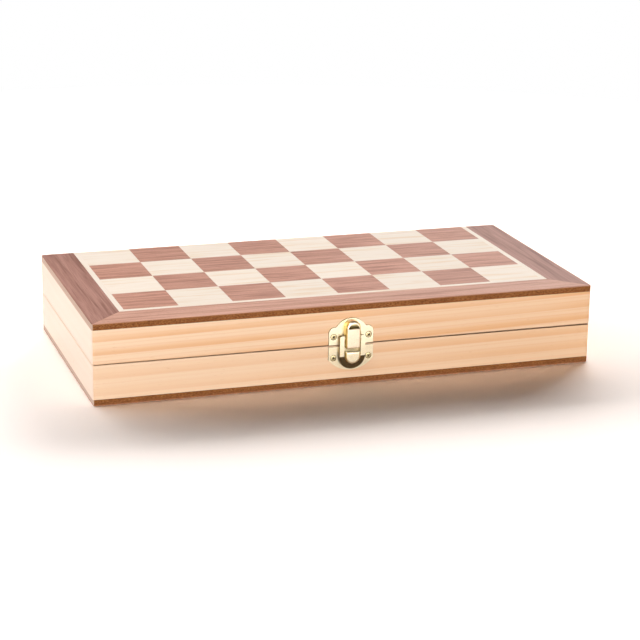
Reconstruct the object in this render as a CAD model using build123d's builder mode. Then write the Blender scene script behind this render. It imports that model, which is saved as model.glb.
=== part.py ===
from build123d import *
from math import atan, cos, sin, tau
import os

os.makedirs("parts", exist_ok=True)

# A folding magnetic chess set, shut, in millimetres, with Z up and its front towards -Y.
# The origin is the centre of the underside. The lid is the base turned over about the seam,
# so what both halves have is made once, for the base, and mirrored for the lid.

# Board: half of its squares are on each half of the box
square = 30.65
files = 8
ranks = 4
veneer_joint = 0.05
light_line = 3.2
border = 19.2

# Box
half_height = 23.0
seam_gap = 0.3
veneer = 0.6
panel = 3.0
rail = 8.0
corner_ease = 1.0
rim_chamfer = 0.6
steel = 0.4
steel_margin = 2.0

box_width = files * square + 2 * (light_line + border)
box_depth = ranks * square + light_line + border
seam = half_height
rim = half_height - seam_gap / 2
rail_foot = veneer + panel
front_y = -box_depth / 2
back_y = box_depth / 2
inner_x = box_width / 2 - rail
inner_y = box_depth / 2 - rail
seam_plane = Plane.XY.offset(seam)

# Foam insert, its pockets, and the two rows of men lying in them
foam_gap = 0.4
foam_height = 17.0
foam_floor = 1.2
pocket_pitch = 33.0
pocket_side_gap = 0.7
pocket_end_gap = 1.6
row_margin = 15.5
lying_gap = 0.1

# Hinges
hinge_x = 92.0
hinge_length = 24.0
hinge_y = back_y + 0.2
knuckles = 3
knuckle_gap = 0.15
knuckle_radius = 1.5
knuckle_clearance = 0.2
pin_radius = 0.6
pin_clearance = 0.08
leaf = 0.9
leaf_width = 7.2
leaf_screw_x = 7.0
leaf_screw_y = back_y - 4.4

# Latch: u is measured out from the front face, v up from the seam
sheet = 0.8
plate_half = 13.0
plate_foot = 0.3
plate_shoulder = 10.5
plate_shoulder_round = 3.5
plate_arch_half = 8.5
plate_top = 15.4
catch_top = -1.2
catch_shoulder = -8.2
catch_bottom = -14.5
pivot_u = 3.2
pivot_v = 0.6
loop_pivot_v = 4.7
lever_half = 4.4
lever_round = 2.2
lever_top = 9.9
lever_slope_end = 12.4
lever_end = 14.4
lever_edge = 1.0
tab_u = 1.6
tab_shoulder = 11.4
lug_outside = 3.5
lug_thick = 0.75
lug_radius = 1.35
lug_root_top = 3.0
latch_pin_radius = 0.75
latch_pin_half = 4.6
trunnion_radius = 0.6
turning_gap = 0.1
loop_half = 7.4
loop_window = 4.75
loop_window_v = -5.2
loop_top = 5.9
loop_bend_v = -6.0
loop_bottom = -13.6
loop_tip_u = 1.2
hook_radius = 4.15
hook_v = -5.7
hook_top = -3.0
hook_depth = 3.4
lip_radius = 4.4
lip = 0.75
latch_screw_x = 10.2
plate_screw_v = 5.0
catch_screw_v = -7.1

# Screws: head radius, shank radius and length under the head
hinge_screw = (1.7, 0.8, 8.0)
latch_screw = (1.9, 1.1, 6.4)

# Small turned pieces that repeat have this many flats to a turn
turned_sides = 9

# Chess men: height and foot radius
men = {
    "king": (54.0, 8.4),
    "queen": (49.0, 8.2),
    "bishop": (42.0, 7.6),
    "knight": (37.0, 7.6),
    "rook": (31.0, 7.6),
    "pawn": (28.0, 6.9),
}
back_row = ["rook", "knight", "bishop", "queen", "king", "bishop", "knight", "rook"]
magnet_share = 0.9
magnet = 1.5

# Turned outlines: height and radius, as shares of the man's height and foot radius
outlines = {
    "king": [(0, 1), (0.07, 1), (0.22, 0.44), (0.63, 0.28), (0.67, 0.50), (0.71, 0.32),
             (0.85, 0.54), (0.89, 0.20)],
    "queen": [(0, 1), (0.08, 1), (0.24, 0.44), (0.66, 0.28), (0.70, 0.50), (0.74, 0.32),
              (0.92, 0.56), (1, 0.14)],
    "bishop": [(0, 1), (0.08, 1), (0.25, 0.44), (0.60, 0.28), (0.65, 0.50), (0.69, 0.32),
               (0.82, 0.46), (1, 0.10)],
    "knight": [(0, 1), (0.10, 1), (0.28, 0.62)],
    "rook": [(0, 1), (0.10, 1), (0.32, 0.52), (0.70, 0.44), (0.78, 0.66), (1, 0.66)],
    "pawn": [(0, 1), (0.10, 1), (0.31, 0.44), (0.66, 0.28), (0.77, 0.57), (0.90, 0.54),
             (1, 0.20)],
}

# Side view of the knight's head, as shares of its foot radius and height
knight_head = [(-0.58, 0.28), (-0.70, 0.46), (-0.62, 0.66), (-0.34, 0.83), (0.00, 0.92),
               (0.08, 1.00), (0.28, 0.90), (0.44, 0.84), (0.92, 0.70), (0.84, 0.62),
               (0.48, 0.64), (0.20, 0.57), (0.44, 0.46), (0.58, 0.28)]
knight_cheek = 0.42
knight_crown = 0.24


def save(piece, name):
    piece.label = name
    export_step(piece, f"parts/{name}.step")


def save_mirrored(piece, name):
    save(mirror(piece, about=seam_plane), name)


def save_both(piece, name):
    save(piece, f"base_{name}")
    save_mirrored(piece, f"lid_{name}")


def ring(height, radius):
    turns = [tau * (step + 0.5) / turned_sides for step in range(turned_sides)]
    return [(radius * cos(turn), radius * sin(turn), height) for turn in turns]


def turned(sections):
    with BuildPart() as piece:
        for (low, low_radius), (high, high_radius) in zip(sections, sections[1:]):
            ConvexPolyhedron(ring(low, low_radius) + ring(high, high_radius))
    return piece.part


def screw_shape(screw, head_height):
    """A screw whose flat head is flush with z = 0."""
    head, shank, length = screw
    return turned([(-head_height - length, shank), (-head_height, shank), (0, head)])


leaf_screw = screw_shape(hinge_screw, leaf)
plate_screw = screw_shape(latch_screw, sheet)


# Squares, edging, steel sheet and panel

def squares(colour):
    with BuildPart() as veneers:
        with BuildSketch():
            for file in range(files):
                for rank in range(ranks):
                    if (file + rank) % 2 == colour:
                        x = (file - (files - 1) / 2) * square
                        y = back_y - (ranks - rank - 0.5) * square
                        with Locations((x, y)):
                            Rectangle(square - veneer_joint, square - veneer_joint)
        extrude(amount=veneer)
    return veneers.part


with BuildSketch() as box_outline:
    Rectangle(box_width, box_depth)
    chamfer(box_outline.vertices(), corner_ease)


def strip(corners):
    with BuildPart() as piece:
        with BuildSketch():
            with BuildLine():
                Polyline(*corners, close=True)
            make_face()
        extrude(amount=veneer)
        with BuildSketch():
            add(box_outline.sketch)
        extrude(amount=veneer, mode=Mode.INTERSECT)
    return piece.part


def edging(inside, width):
    """Three mitred strips, at the left, front and right of the squares."""
    x_in = files * square / 2 + inside + veneer_joint / 2
    y_in = back_y - ranks * square - inside - veneer_joint / 2
    x_out = files * square / 2 + inside + width
    y_out = back_y - ranks * square - inside - width
    front = strip([(-x_in, y_in), (x_in, y_in), (x_out, y_out), (-x_out, y_out)])
    sides = [
        strip([(side * x_in, y_in + veneer_joint), (side * x_out, y_out + veneer_joint),
               (side * x_out, back_y), (side * x_in, back_y)])
        for side in (-1, 1)
    ]
    return Compound(children=[front, *sides])


save(squares(1), "base_dark_squares")
save(squares(0), "base_light_squares")
save_mirrored(squares(0), "lid_dark_squares")
save_mirrored(squares(1), "lid_light_squares")
save_both(edging(0, light_line), "light_line")
save_both(edging(light_line, border), "border_veneer")

steel_width = files * square - 2 * steel_margin
steel_depth = ranks * square - 2 * steel_margin
steel_y = back_y - ranks * square / 2

with BuildPart() as steel_sheet:
    with BuildSketch(Plane.XY.offset(veneer)):
        with Locations((0, steel_y)):
            Rectangle(steel_width, steel_depth)
    extrude(amount=steel)
save_both(steel_sheet.part, "steel_sheet")

with BuildPart() as box_panel:
    with BuildSketch(Plane.XY.offset(veneer)):
        add(box_outline.sketch)
    extrude(amount=panel)
    with BuildSketch(Plane.XY.offset(veneer)):
        with Locations((0, steel_y)):
            Rectangle(steel_width, steel_depth)
    extrude(amount=steel, mode=Mode.SUBTRACT)
save_both(box_panel.part, "panel")

# Rails: one frame with its rim eased, parted along its mitres

with BuildPart() as frame:
    with BuildSketch(Plane.XY.offset(rail_foot)):
        add(box_outline.sketch)
        Rectangle(2 * inner_x, 2 * inner_y, mode=Mode.SUBTRACT)
    extrude(amount=rim - rail_foot)
    chamfer(frame.faces().sort_by(Axis.Z)[-1].outer_wire().edges(), rim_chamfer)


def mitred_rail(corners):
    with BuildPart() as piece:
        add(frame.part)
        with BuildSketch(Plane.XY.offset(rail_foot)):
            with BuildLine():
                Polyline(*corners, close=True)
            make_face()
        extrude(amount=rim - rail_foot, mode=Mode.INTERSECT)
    return piece.part


def long_rail(side):
    """The front rail for -1, the back rail for 1."""
    y_in = side * inner_y
    y_out = side * box_depth / 2
    return mitred_rail([(-inner_x, y_in), (inner_x, y_in),
                        (box_width / 2, y_out), (-box_width / 2, y_out)])


def short_rail(side):
    x_in = side * inner_x
    x_out = side * box_width / 2
    return mitred_rail([(x_in, -inner_y), (x_in, inner_y),
                        (x_out, box_depth / 2), (x_out, -box_depth / 2)])


save_both(short_rail(-1), "left_rail")
save_both(short_rail(1), "right_rail")

front_plane = Plane(origin=(0, front_y, seam), x_dir=(1, 0, 0), z_dir=(0, -1, 0))


def latch_screw_places(screw_v):
    """The screws stand on the plate's face."""
    face = front_plane.offset(sheet)
    return [face.location * Location((side * latch_screw_x, screw_v, 0)) for side in (-1, 1)]


def front_rail(screw_v):
    stock = long_rail(-1)
    with BuildPart() as piece:
        add(stock)
        with Locations(*latch_screw_places(screw_v)):
            add(plate_screw, mode=Mode.SUBTRACT)
    return piece.part


save(front_rail(catch_screw_v), "base_front_rail")
save_mirrored(front_rail(-plate_screw_v), "lid_front_rail")

# Back rail: a mortise for each leaf, and room for the knuckles to turn

rim_plane = Plane.XY.offset(rim)
leaf_screw_places = [
    rim_plane.location * Location((side * hinge_x + offset, leaf_screw_y, 0))
    for side in (-1, 1)
    for offset in (-leaf_screw_x, leaf_screw_x)
]

back_stock = long_rail(1)

with BuildPart() as back_rail:
    add(back_stock)
    with BuildSketch(rim_plane):
        with Locations((-hinge_x, back_y - leaf_width / 2), (hinge_x, back_y - leaf_width / 2)):
            Rectangle(hinge_length, leaf_width)
    extrude(amount=-leaf, mode=Mode.SUBTRACT)
    for side in (-1, 1):
        with BuildSketch(Plane.YZ.offset(side * hinge_x)):
            with Locations((hinge_y, seam)):
                Circle(knuckle_radius + knuckle_clearance)
        extrude(amount=hinge_length / 2, both=True, mode=Mode.SUBTRACT)
    with Locations(*leaf_screw_places):
        add(leaf_screw, mode=Mode.SUBTRACT)
save_both(back_rail.part, "back_rail")

# Hinge leaves: the base has every second knuckle from the end, the lid has those between

knuckle_pitch = (hinge_length + knuckle_gap) / knuckles
knuckle_length = knuckle_pitch - knuckle_gap


def hinge_leaf(centre_x, own, bore_radius):
    root_y = hinge_y - knuckle_radius - knuckle_clearance
    with BuildPart() as piece:
        with BuildSketch(rim_plane):
            with Locations((centre_x, (back_y - leaf_width + root_y) / 2)):
                Rectangle(hinge_length, root_y - back_y + leaf_width)
        extrude(amount=-leaf)
        for number in own:
            start_x = centre_x - hinge_length / 2 + number * knuckle_pitch
            with BuildSketch(Plane.YZ.offset(start_x)):
                with Locations((hinge_y, seam)):
                    Circle(knuckle_radius)
                with Locations(((root_y + hinge_y) / 2, rim - leaf / 2)):
                    Rectangle(hinge_y - root_y, leaf)
                with Locations((hinge_y, seam)):
                    Circle(bore_radius, mode=Mode.SUBTRACT)
            extrude(amount=knuckle_length)
        with Locations(*leaf_screw_places):
            add(leaf_screw, mode=Mode.SUBTRACT)
    return piece.part


for side, name in ((-1, "left"), (1, "right")):
    save(hinge_leaf(side * hinge_x, range(0, knuckles, 2), pin_radius),
         f"{name}_hinge_base_leaf")
    save_mirrored(hinge_leaf(side * hinge_x, range(1, knuckles, 2), pin_radius + pin_clearance),
                  f"{name}_hinge_lid_leaf")
    with BuildPart() as hinge_pin:
        with BuildSketch(Plane.YZ.offset(side * hinge_x)):
            with Locations((hinge_y, seam)):
                Circle(pin_radius)
        extrude(amount=hinge_length / 2, both=True)
    save(hinge_pin.part, f"{name}_hinge_pin")

with BuildPart() as hinge_screws:
    with Locations(*leaf_screw_places):
        add(leaf_screw)
save_both(hinge_screws.part, "hinge_screws")


# Latch, drawn on the front face, and in side view on a plane whose x is u and whose y is v

def side_plane(x):
    return Plane(origin=(x, front_y, seam), x_dir=(0, -1, 0), z_dir=(-1, 0, 0))


with BuildPart() as latch_plate:
    with BuildSketch(front_plane):
        with BuildLine():
            Polyline((-plate_arch_half, plate_shoulder), (-plate_half, plate_shoulder),
                     (-plate_half, plate_foot), (plate_half, plate_foot),
                     (plate_half, plate_shoulder), (plate_arch_half, plate_shoulder))
            ThreePointArc((plate_arch_half, plate_shoulder), (0, plate_top),
                          (-plate_arch_half, plate_shoulder))
        plate_face = make_face()
        shoulders = plate_face.vertices().filter_by(lambda v: abs(abs(v.X) - plate_half) < 0.01)
        fillet(shoulders.group_by(Axis.Y)[-1], plate_shoulder_round)
    extrude(amount=sheet)
    for side in (-1, 1):
        with BuildSketch(side_plane(side * (lug_outside - lug_thick / 2))):
            with BuildLine():
                lug_end = CenterArc((pivot_u, pivot_v), lug_radius, -90, 180)
                Polyline(lug_end @ 0, (sheet, plate_foot), (sheet, lug_root_top), lug_end @ 1)
            make_face()
            with Locations((pivot_u, pivot_v)):
                Circle(latch_pin_radius, mode=Mode.SUBTRACT)
        extrude(amount=lug_thick / 2, both=True)
    with Locations(*latch_screw_places(plate_screw_v)):
        add(plate_screw, mode=Mode.SUBTRACT)
save(latch_plate.part, "latch_plate")

with BuildPart() as latch_lever:
    with BuildSketch(side_plane(0)):
        with BuildLine():
            foot = CenterArc((pivot_u, pivot_v), lever_round, 0, -180)
            Polyline(foot @ 1, (pivot_u - lever_round, lever_top), (tab_u, tab_shoulder),
                     (tab_u, lever_end), (tab_u + sheet, lever_end),
                     (tab_u + sheet, lever_slope_end), (pivot_u + lever_round, lever_top),
                     foot @ 0)
        make_face()
    extrude(amount=lever_half, both=True)
    flank = latch_lever.edges().filter_by(lambda e: abs(abs(e.center().X) - lever_half) < 0.01)
    face_y = front_y - pivot_u - lever_round
    chamfer(flank.filter_by(lambda e: abs(e.center().Y - face_y) < 0.01), lever_edge)
    with BuildSketch(side_plane(0)):
        with BuildLine():
            inside_u = pivot_u + lever_round - sheet
            low_v = catch_top - lever_round
            Polyline((0, low_v), (inside_u, low_v), (inside_u, lever_top - sheet / 2),
                     (tab_u + sheet / 2, lever_slope_end - sheet), (tab_u, tab_shoulder),
                     (0, tab_shoulder), close=True)
        make_face()
    extrude(amount=lever_half - sheet, both=True, mode=Mode.SUBTRACT)
    with BuildSketch(side_plane(0)):
        with Locations((pivot_u, pivot_v)):
            Circle(latch_pin_radius + turning_gap)
        with Locations((pivot_u, loop_pivot_v)):
            Circle(trunnion_radius + turning_gap)
    extrude(amount=lever_half, both=True, mode=Mode.SUBTRACT)
    with BuildSketch(front_plane):
        with BuildLine():
            foot_v = pivot_v - lever_round
            Polyline((-lever_half, tab_shoulder), (-lever_half, foot_v), (lever_half, foot_v),
                     (lever_half, tab_shoulder))
            ThreePointArc((lever_half, tab_shoulder), (0, lever_end), (-lever_half, tab_shoulder))
        make_face()
    extrude(amount=pivot_u + lever_round, mode=Mode.INTERSECT)
save(latch_lever.part, "latch_lever")

with BuildPart() as latch_pin:
    with BuildSketch(side_plane(0)):
        with Locations((pivot_u, pivot_v)):
            Circle(latch_pin_radius)
    extrude(amount=latch_pin_half, both=True)
save(latch_pin.part, "latch_lever_pin")

with BuildPart() as latch_loop:
    back_u = pivot_u - sheet / 2
    with BuildSketch(side_plane(0)):
        with BuildLine():
            Polyline((back_u, loop_top), (back_u, loop_bend_v), (loop_tip_u, loop_bottom),
                     (loop_tip_u + sheet, loop_bottom), (back_u + sheet, loop_bend_v),
                     (back_u + sheet, loop_top), close=True)
        make_face()
    extrude(amount=loop_half, both=True)
    with BuildSketch(front_plane):
        with BuildLine():
            bow_v = loop_bottom + loop_half
            Polyline((-loop_half, bow_v), (-loop_half, loop_top), (loop_half, loop_top),
                     (loop_half, bow_v))
            ThreePointArc((loop_half, bow_v), (0, loop_bottom), (-loop_half, bow_v))
        loop_face = make_face()
        fillet(loop_face.vertices().group_by(Axis.Y)[-1], (loop_half - loop_window) / 2)
        with BuildLine():
            Polyline((-loop_window, loop_window_v), (-loop_window, loop_top),
                     (loop_window, loop_top), (loop_window, loop_window_v))
            ThreePointArc((loop_window, loop_window_v), (0, loop_window_v - loop_window),
                          (-loop_window, loop_window_v))
        make_face(mode=Mode.SUBTRACT)
    extrude(amount=pivot_u + lever_round, mode=Mode.INTERSECT)
    for side in (-1, 1):
        with BuildSketch(side_plane(side * loop_window)):
            with Locations((pivot_u, loop_pivot_v)):
                Circle(trunnion_radius)
        extrude(amount=side * (loop_window - lug_outside))
save(latch_loop.part, "latch_loop")


def hook_outline(radius):
    """A U with a flat top."""
    with BuildSketch() as cup:
        with BuildLine():
            Polyline((-radius, hook_v), (-radius, hook_top), (radius, hook_top),
                     (radius, hook_v))
            ThreePointArc((radius, hook_v), (0, hook_v - radius), (-radius, hook_v))
        make_face()
    return cup.sketch


hook_outside = hook_outline(hook_radius)
hook_inside = hook_outline(hook_radius - sheet)
hook_lip = hook_outline(lip_radius)

with BuildPart() as catch_plate:
    with BuildSketch(front_plane):
        with BuildLine():
            Polyline((-plate_half, catch_shoulder), (-plate_half, catch_top),
                     (plate_half, catch_top), (plate_half, catch_shoulder))
            ThreePointArc((plate_half, catch_shoulder), (0, catch_bottom),
                          (-plate_half, catch_shoulder))
        make_face()
    extrude(amount=sheet)
    with BuildSketch(front_plane.offset(sheet)):
        add(hook_outside)
        add(hook_inside, mode=Mode.SUBTRACT)
    extrude(amount=hook_depth)
    with BuildSketch(front_plane.offset(sheet + hook_depth)):
        add(hook_lip)
    extrude(amount=lip)
    with Locations(*latch_screw_places(catch_screw_v)):
        add(plate_screw, mode=Mode.SUBTRACT)
save(catch_plate.part, "catch_plate")

for name, screw_v in (("latch_screws", plate_screw_v), ("catch_screws", catch_screw_v)):
    with BuildPart() as screws:
        with Locations(*latch_screw_places(screw_v)):
            add(plate_screw)
    save(screws.part, name)


# Chess men, made standing at the origin

def outline(kind):
    height, foot = men[kind]
    return [(share * height, radius * foot) for share, radius in outlines[kind]]


def man(kind):
    height, foot = men[kind]
    stem = turned(outline(kind))
    with BuildPart() as piece:
        add(stem)
        if kind == "king":
            with BuildSketch(Plane.XY.offset(outline(kind)[-1][0])):
                Rectangle(0.2 * foot, 0.2 * foot)
            extrude(amount=height - outline(kind)[-1][0])
            with BuildSketch(Plane.XY.offset(0.93 * height)):
                Rectangle(0.56 * foot, 0.2 * foot)
            extrude(amount=0.03 * height)
        if kind == "rook":
            with BuildSketch(Plane.XY.offset(height)):
                Rectangle(2 * foot, 0.2 * foot)
                Rectangle(0.2 * foot, 2 * foot)
            extrude(amount=-0.08 * height, mode=Mode.SUBTRACT)
        if kind == "knight":
            with BuildSketch(Plane.XZ):
                with BuildLine():
                    Polyline(*[(x * foot, z * height) for x, z in knight_head], close=True)
                make_face()
            extrude(amount=knight_cheek * foot, both=True)
            with BuildSketch(Plane.YZ):
                with BuildLine():
                    Polyline((-foot, 0), (foot, 0), (foot, 0.28 * height),
                             (knight_cheek * foot, 0.28 * height),
                             (knight_cheek * foot, 0.62 * height),
                             (knight_crown * foot, height), (-knight_crown * foot, height),
                             (-knight_cheek * foot, 0.62 * height),
                             (-knight_cheek * foot, 0.28 * height), (-foot, 0.28 * height),
                             close=True)
                make_face()
            extrude(amount=foot, both=True, mode=Mode.INTERSECT)
    return piece.part


def lying_points(kind):
    """Heights and radii that a man may rest on, above its foot."""
    height, foot = men[kind]
    if kind == "knight":
        return [*outline(kind)[2:], (height, knight_crown * foot)]
    return outline(kind)[2:]


def lying_place(kind, x, head_way):
    """A man lies on its foot and on the widest part of its head, so it leans a little."""
    height, foot = men[kind]
    step = outline(kind)[1][0]
    lean = min(atan((foot - radius) / (high - step)) for high, radius in lying_points(kind))
    z = rail_foot + foam_floor + lying_gap + step * sin(lean) + foot * cos(lean)
    y = -head_way * (inner_y - row_margin)
    return Plane(origin=(x, y, z), x_dir=(1, 0, 0),
                 z_dir=(0, head_way * cos(lean), -sin(lean)))


def row_x(number):
    return (number - (files - 1) / 2) * pocket_pitch


rows = {kind: [] for kind in men}
for number, kind in enumerate(back_row):
    rows[kind].append(lying_place(kind, row_x(number), -1))
for number in range(files):
    rows["pawn"].append(lying_place("pawn", row_x(number), 1))

magnets = []
for kind, places in rows.items():
    one_man = man(kind)
    with BuildPart() as group:
        with Locations(*places):
            add(one_man)
    several = kind if len(places) == 1 else f"{kind}s"
    save(group.part, f"white_{several}")
    save_mirrored(group.part, f"black_{several}")
    disc_radius = magnet_share * men[kind][1]
    disc = turned([(-magnet, disc_radius), (0, disc_radius)])
    magnets += [place.location * disc for place in places]
magnet_group = Compound(children=magnets)
save(magnet_group, "white_magnets")
save_mirrored(magnet_group, "black_magnets")

# Foam insert, cut to the outline of each man

with BuildPart() as foam_insert:
    with BuildSketch(Plane.XY.offset(rail_foot)):
        Rectangle(2 * (inner_x - foam_gap), 2 * (inner_y - foam_gap))
    extrude(amount=foam_height)
    with BuildSketch(Plane.XY.offset(rail_foot + foam_floor)):
        for kind, places in rows.items():
            height, foot = men[kind]
            wide = foot + pocket_side_gap
            head = max(radius for high, radius in lying_points(kind)) + pocket_side_gap
            if kind == "knight":
                head = wide
            for place in places:
                x = place.origin.X
                y = place.origin.Y
                way = 1 if place.z_dir.Y > 0 else -1
                foot_end = y - way * (magnet + pocket_end_gap)
                waist = y + way * 0.30 * height
                head_end = y + way * (height + pocket_end_gap)
                with BuildLine():
                    Polyline((x - wide, foot_end), (x - wide, waist), (x - head, head_end),
                             (x + head, head_end), (x + wide, waist), (x + wide, foot_end),
                             close=True)
                make_face()
    extrude(amount=foam_height - foam_floor, mode=Mode.SUBTRACT)
save_both(foam_insert.part, "foam_insert")
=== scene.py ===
import random
from math import cos, pi, radians, sin, tau

import bmesh
import bpy
from mathutils import Matrix, Vector


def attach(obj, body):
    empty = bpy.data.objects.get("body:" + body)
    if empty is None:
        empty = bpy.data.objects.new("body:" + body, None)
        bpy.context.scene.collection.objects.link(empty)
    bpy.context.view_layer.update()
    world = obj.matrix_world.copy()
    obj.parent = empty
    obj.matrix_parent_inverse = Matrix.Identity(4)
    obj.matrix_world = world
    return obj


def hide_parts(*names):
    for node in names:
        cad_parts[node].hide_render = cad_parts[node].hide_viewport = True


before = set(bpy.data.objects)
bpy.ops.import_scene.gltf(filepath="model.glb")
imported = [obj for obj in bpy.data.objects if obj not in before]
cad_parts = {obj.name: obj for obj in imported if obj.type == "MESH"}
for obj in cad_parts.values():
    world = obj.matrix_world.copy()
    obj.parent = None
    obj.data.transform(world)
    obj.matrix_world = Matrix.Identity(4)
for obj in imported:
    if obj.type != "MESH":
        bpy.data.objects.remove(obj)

# Folding magnetic chess set. Pieces are shaped in millimetres and scaled to metres at the end.
# Both halves are shaped as the base; the lid's pieces are the same turned over about the seam.
print("frame loaded")
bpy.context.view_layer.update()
mm = 0.001
tiny = 0.001
chance = random.Random(11)

# Camera: where it stands, how it is turned, and its lens, worked out from the corners of the box
camera = {"place": (-0.3480, -1.0700, 0.3597), "right": (0.95075, -0.30956, 0.01541), "up": (0.07655, 0.28273, 0.95614),
          "back": (-0.30034, -0.90788, 0.2925), "lens": 112.78, "sensor": 36.0, "near": 0.05, "far": 50}

# Lamps: softboxes behind, above and at the sides, and a low strip for the front. One behind lights only the floor, for
# its long soft shadow, and those above and at the right light only the box, so that its back isn't overlit.
lamps = {
    "BackRight": {"place": (2.74, 3.50, 2.29), "target": (0, 0, 0), "size": (2.7, 1.65), "power": 186.0,
                  "colour": (1.0, 0.99, 0.98), "lights": "all"},
    "Back": {"place": (-0.16, 4.44, 2.31), "target": (0, 0, 0), "size": (4.7, 1.65), "power": 230.0,
             "colour": (1.0, 0.99, 0.98), "lights": "floor"},
    "BackLeft": {"place": (-3.55, 2.98, 1.87), "target": (0, 0, 0), "size": (3.4, 1.75), "power": 122.0,
                 "colour": (1.0, 0.99, 0.98), "lights": "all"},
    "Above": {"place": (-0.50, -0.20, 0.80), "target": (0, 0, 0.046), "size": (0.5, 0.4), "power": 4.1,
              "colour": (1.0, 0.98, 0.96), "lights": "box"},
    "Left": {"place": (-1.57, 0.33, 0.20), "target": (-0.14, 0, 0.02), "size": (0.9, 0.14), "power": 5.9,
             "colour": (1.0, 0.98, 0.98), "lights": "all"},
    "Right": {"place": (2.30, 0.35, 0.30), "target": (0.14, 0, 0.02), "size": (1.4, 0.4), "power": 18.0,
              "colour": (1.0, 0.99, 0.98), "lights": "box"},
    "Front": {"place": (-0.10, -1.50, 0.05), "target": (0, -0.07, 0.02), "size": (1.1, 0.09), "power": 17.4,
              "colour": (1.0, 0.98, 0.96), "lights": "all"},
}

sky = {"level": 0.012, "below": 1.0, "horizon": 0.002, "wall": (1.0, 1.0, 1.0), "wallTop": 0.30,
       "ceiling": (0.07, 0.065, 0.06), "ceilingFoot": 0.62}
floorSizes = {"half": 12.0, "height": 0.00005, "colour": (0.34, 0.31, 0.28), "shown": (1.47, 1.35, 1.29), "near": 0.40,
              "far": 0.85}


def link(obj):
    bpy.context.scene.collection.objects.link(obj)
    return obj


# An object made of a shape, which is used up
def objectOf(bm, name, materials):
    mesh = bpy.data.meshes.new(name)
    for material in materials:
        mesh.materials.append(material)
    bm.to_mesh(mesh)
    bm.free()
    return link(bpy.data.objects.new(name, mesh))


lens = bpy.data.cameras.new("PhotoCamera")
lens.sensor_fit = "HORIZONTAL"
lens.sensor_width = camera["sensor"]
lens.lens = camera["lens"]
lens.clip_start = camera["near"]
lens.clip_end = camera["far"]
photoCamera = link(bpy.data.objects.new("PhotoCamera", lens))
turned = Matrix((camera["right"], camera["up"], camera["back"])).transposed()
photoCamera.matrix_world = Matrix.Translation(camera["place"]) @ turned.to_4x4()
bpy.context.scene.camera = photoCamera
bpy.context.scene.view_settings.view_transform = "Standard"


# Nodes: a socket in place of a value is linked
def isSocket(value):
    return isinstance(value, bpy.types.NodeSocket)


def addNode(tree, kind, sockets=None, **settings):
    made = tree.nodes.new("ShaderNode" + kind)
    for name, value in settings.items():
        setattr(made, name, value)
    for name, value in (sockets or {}).items():
        if isSocket(value):
            tree.links.new(value, made.inputs[name])
        else:
            made.inputs[name].default_value = value
    return made


def srgb(red, green, blue):
    parts = [value / 255 for value in (red, green, blue)]
    return tuple(part / 12.92 if part <= 0.04045 else ((part + 0.055) / 1.055) ** 2.4 for part in parts)


def mixed(tree, factor, first, second, blend="MIX"):
    first, second = (value if isSocket(value) else (*value, 1.0) for value in (first, second))
    made = addNode(tree, "Mix", {0: factor, 6: first, 7: second}, data_type="RGBA", blend_type=blend)
    return made.outputs[2]


def sums(tree, operation, *values):
    return addNode(tree, "Math", dict(enumerate(values)), operation=operation).outputs[0]


def times(tree, first, second):
    return sums(tree, "MULTIPLY", first, second)


# A value carried from one range to another
def ranged(tree, value, source, result):
    return addNode(tree, "MapRange", {"Value": value, "From Min": source[0], "From Max": source[1], "To Min": result[0],
                                      "To Max": result[1]}).outputs[0]


def ramp(tree, factor, stops):
    made = addNode(tree, "ValToRGB", {"Fac": factor})
    line = made.color_ramp
    while len(line.elements) < len(stops):
        line.elements.new(0.5)
    for element, (place, colour) in zip(line.elements, stops):
        element.position = place
        element.color = (*colour, 1) if isinstance(colour, tuple) else (colour, colour, colour, 1)
    return made.outputs["Color"]


def ownPlace(tree):
    return addNode(tree, "TexCoord").outputs["Object"]


def axesOf(tree, place):
    return addNode(tree, "SeparateXYZ", {0: place}).outputs


def scaled(tree, place, scale, **settings):
    return addNode(tree, "Mapping", {"Vector": place, "Scale": scale, **settings}).outputs[0]


# Rays that show the background: straight to the eye, by way of metal or through glass
def shownRay(tree):
    ray = addNode(tree, "LightPath")
    mirrored = sums(tree, "MAXIMUM", ray.outputs["Is Glossy Ray"], ray.outputs["Is Transmission Ray"])
    return sums(tree, "MAXIMUM", ray.outputs["Is Camera Ray"], mirrored)


def mixedShader(tree, factor, first, second):
    return addNode(tree, "MixShader", {0: factor, 1: first.outputs[0], 2: second.outputs[0]})


# World: a white studio with a dim ceiling, which lights the box only a little from above. Its light from below
# reaches only the underside, because the floor stops it.
world = bpy.data.worlds.new("Studio")
world.use_nodes = True
bpy.context.scene.world = world
tree = world.node_tree
tree.nodes.clear()
height = axesOf(tree, addNode(tree, "TexCoord").outputs["Generated"])["Z"]
walls = ramp(tree, height, [(0.0, sky["wall"]), (sky["wallTop"], sky["wall"]), (sky["ceilingFoot"], sky["ceiling"])])
level = ranged(tree, height, (-sky["horizon"], 0.0), (sky["below"], sky["level"]))
studio = addNode(tree, "Background", {"Color": (*sky["wall"], 1), "Strength": level})
plain = addNode(tree, "Background", {"Color": walls, "Strength": 1.0})
both = mixedShader(tree, shownRay(tree), studio, plain)
addNode(tree, "OutputWorld", {"Surface": both.outputs[0]})

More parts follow.
